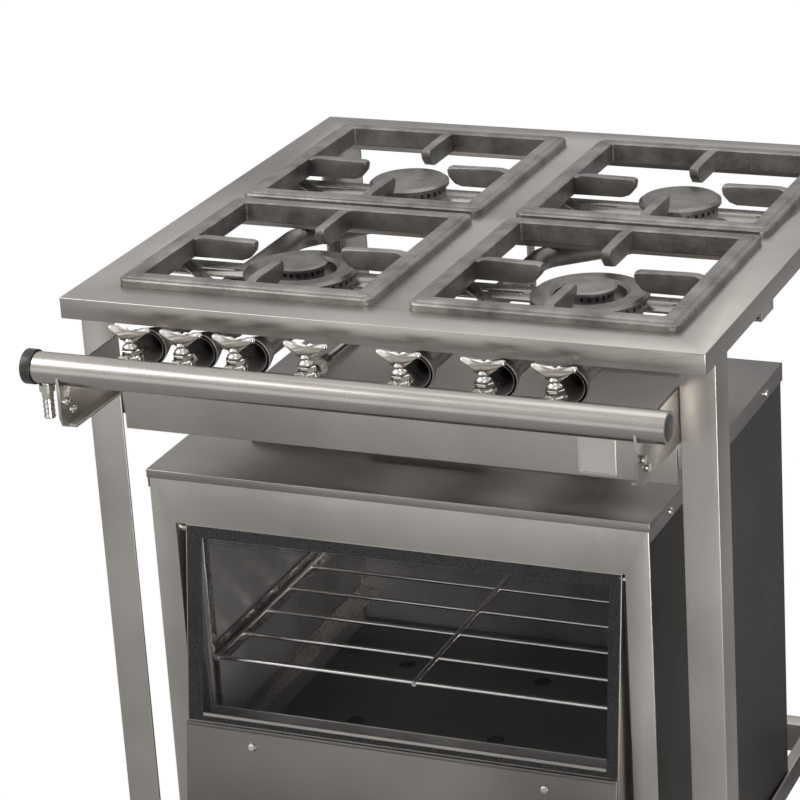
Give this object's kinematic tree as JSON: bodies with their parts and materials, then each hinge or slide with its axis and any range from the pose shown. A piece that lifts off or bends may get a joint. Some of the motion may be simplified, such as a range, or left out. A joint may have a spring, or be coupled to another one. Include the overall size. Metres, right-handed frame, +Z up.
{
  "type": "gas range",
  "caption": "Restaurant gas range: open angle-leg frame, lift-off cast grates over ring burners, front gas pipe with winged taps, and a hung oven with a glazed flap door.",
  "frame": {"origin": "centre of the whole range's footprint, on the floor", "axes": "+Z up; the front, with the gas pipe, taps and oven door, faces -Y; +X is to the right as seen from the front"},
  "size_m": [0.73, 0.8089, 0.86],
  "materials": {
    "satin_steel": "satin",
    "grate_iron": "rough cast",
    "cap_iron": "rough cast",
    "burner_iron": "cast",
    "plated_steel": "bright zinc",
    "pipe_chrome": "polished",
    "tap_chrome": "polished",
    "brass_fitting": "turned",
    "dark_enamel": "semi gloss",
    "mineral_wool": "fibrous",
    "foot_plastic": "moulded",
    "door_glass": "clear",
    "bright_steel": "bright",
    "plate_aluminium": "brushed"
  },
  "bodies": {
    "range_frame": {"top_frame": "satin_steel", "front_left_leg": "satin_steel", "rear_left_leg": "satin_steel", "front_right_leg": "satin_steel", "rear_right_leg": "satin_steel", "leg_feet": "foot_plastic", "side_stretchers": "satin_steel", "cross_stretchers": "satin_steel", "oven_rails": "satin_steel", "front_left_burner": "burner_iron", "front_right_burner": "burner_iron", "rear_left_burner": "burner_iron", "rear_right_burner": "burner_iron", "burner_bars": "plated_steel", "burner_straps": "plated_steel", "gas_pipe": "pipe_chrome", "pipe_end_caps": "dark_enamel", "gas_inlet_nipple": "brass_fitting", "pipe_brackets": "satin_steel", "tap_bodies": "tap_chrome", "gas_injectors": "brass_fitting", "front_apron": "satin_steel", "blank_plate": "plate_aluminium", "tray_runners": "plated_steel", "oven_casing": "dark_enamel", "oven_top_cover": "satin_steel", "oven_front_frame": "satin_steel", "oven_liner": "dark_enamel", "oven_insulation": "mineral_wool", "oven_floor_plate": "dark_enamel", "oven_burner": "plated_steel", "oven_gas_pipe": "plated_steel", "rack_guides": "plated_steel", "door_hinge_pins": "bright_steel", "frame_bolts": "bright_steel"},
    "rear_left_handle": {"rear_left_tap_handle": "tap_chrome"},
    "front_left_outer_handle": {"front_left_outer_tap_handle": "tap_chrome"},
    "front_left_inner_handle": {"front_left_inner_tap_handle": "tap_chrome"},
    "oven_handle": {"oven_tap_handle": "tap_chrome"},
    "rear_right_handle": {"rear_right_tap_handle": "tap_chrome"},
    "front_right_outer_handle": {"front_right_outer_tap_handle": "tap_chrome"},
    "front_right_inner_handle": {"front_right_inner_tap_handle": "tap_chrome"},
    "oven_door": {"door_frame": "satin_steel", "door_glass": "door_glass", "door_panel": "satin_steel", "door_screws": "bright_steel", "door_handle": "bright_steel", "door_inner_panel": "satin_steel"},
    "front_left_grate_body": {"front_left_grate": "grate_iron"},
    "front_right_grate_body": {"front_right_grate": "grate_iron"},
    "rear_left_grate_body": {"rear_left_grate": "grate_iron"},
    "rear_right_grate_body": {"rear_right_grate": "grate_iron"},
    "front_left_ring": {"front_left_ring_cap": "cap_iron"},
    "front_left_inner": {"front_left_inner_cap": "cap_iron"},
    "rear_left_cap": {"rear_left_burner_cap": "cap_iron"},
    "front_right_ring": {"front_right_ring_cap": "cap_iron"},
    "front_right_inner": {"front_right_inner_cap": "cap_iron"},
    "rear_right_cap": {"rear_right_burner_cap": "cap_iron"},
    "rack": {"oven_rack": "bright_steel"},
    "tray": {"drip_tray": "satin_steel"}
  },
  "joints": [
    {"name": "rear_left_tap_turn", "type": "hinge", "parent": "range_frame", "child": "rear_left_handle", "pos_m": [-0.2631, -0.3425, 0.83], "axis": [0, 0, 1], "range_deg": [0, 90]},
    {"name": "front_left_outer_tap_turn", "type": "hinge", "parent": "range_frame", "child": "front_left_outer_handle", "pos_m": [-0.2019, -0.3425, 0.83], "axis": [0, 0, 1], "range_deg": [0, 90]},
    {"name": "front_left_inner_tap_turn", "type": "hinge", "parent": "range_frame", "child": "front_left_inner_handle", "pos_m": [-0.1401, -0.3425, 0.83], "axis": [0, 0, 1], "range_deg": [0, 90]},
    {"name": "oven_tap_turn", "type": "hinge", "parent": "range_frame", "child": "oven_handle", "pos_m": [-0.0579, -0.3425, 0.83], "axis": [0, 0, 1], "range_deg": [0, 90]},
    {"name": "rear_right_tap_turn", "type": "hinge", "parent": "range_frame", "child": "rear_right_handle", "pos_m": [0.0471, -0.3425, 0.83], "axis": [0, 0, 1], "range_deg": [0, 90]},
    {"name": "front_right_outer_tap_turn", "type": "hinge", "parent": "range_frame", "child": "front_right_outer_handle", "pos_m": [0.1401, -0.3425, 0.83], "axis": [0, 0, 1], "range_deg": [0, 90]},
    {"name": "front_right_inner_tap_turn", "type": "hinge", "parent": "range_frame", "child": "front_right_inner_handle", "pos_m": [0.2169, -0.3425, 0.83], "axis": [0, 0, 1], "range_deg": [0, 90]},
    {"name": "oven_door_hinge", "type": "hinge", "parent": "range_frame", "child": "oven_door", "pos_m": [0, -0.2665, 0.574], "axis": [-1, 0, 0], "range_deg": [0, 85]},
    {"name": "front_left_grate_lift", "type": "slide", "parent": "range_frame", "child": "front_left_grate_body", "axis": [0, 0, 1], "range_m": [0, 0.12]},
    {"name": "front_right_grate_lift", "type": "slide", "parent": "range_frame", "child": "front_right_grate_body", "axis": [0, 0, 1], "range_m": [0, 0.12]},
    {"name": "rear_left_grate_lift", "type": "slide", "parent": "range_frame", "child": "rear_left_grate_body", "axis": [0, 0, 1], "range_m": [0, 0.12]},
    {"name": "rear_right_grate_lift", "type": "slide", "parent": "range_frame", "child": "rear_right_grate_body", "axis": [0, 0, 1], "range_m": [0, 0.12]},
    {"name": "front_left_ring_cap_lift", "type": "slide", "parent": "range_frame", "child": "front_left_ring", "axis": [0, 0, 1], "range_m": [0, 0.003]},
    {"name": "front_left_inner_cap_lift", "type": "slide", "parent": "range_frame", "child": "front_left_inner", "axis": [0, 0, 1], "range_m": [0, 0.1]},
    {"name": "rear_left_cap_lift", "type": "slide", "parent": "range_frame", "child": "rear_left_cap", "axis": [0, 0, 1], "range_m": [0, 0.1]},
    {"name": "front_right_ring_cap_lift", "type": "slide", "parent": "range_frame", "child": "front_right_ring", "axis": [0, 0, 1], "range_m": [0, 0.003]},
    {"name": "front_right_inner_cap_lift", "type": "slide", "parent": "range_frame", "child": "front_right_inner", "axis": [0, 0, 1], "range_m": [0, 0.1]},
    {"name": "rear_right_cap_lift", "type": "slide", "parent": "range_frame", "child": "rear_right_cap", "axis": [0, 0, 1], "range_m": [0, 0.1]},
    {"name": "oven_rack_slide", "type": "slide", "parent": "range_frame", "child": "rack", "axis": [0, -1, 0], "range_m": [-0.038, 0]},
    {"name": "drip_tray_slide", "type": "slide", "parent": "range_frame", "child": "tray", "axis": [0, -1, 0], "range_m": [0, 0.25]}
  ]
}
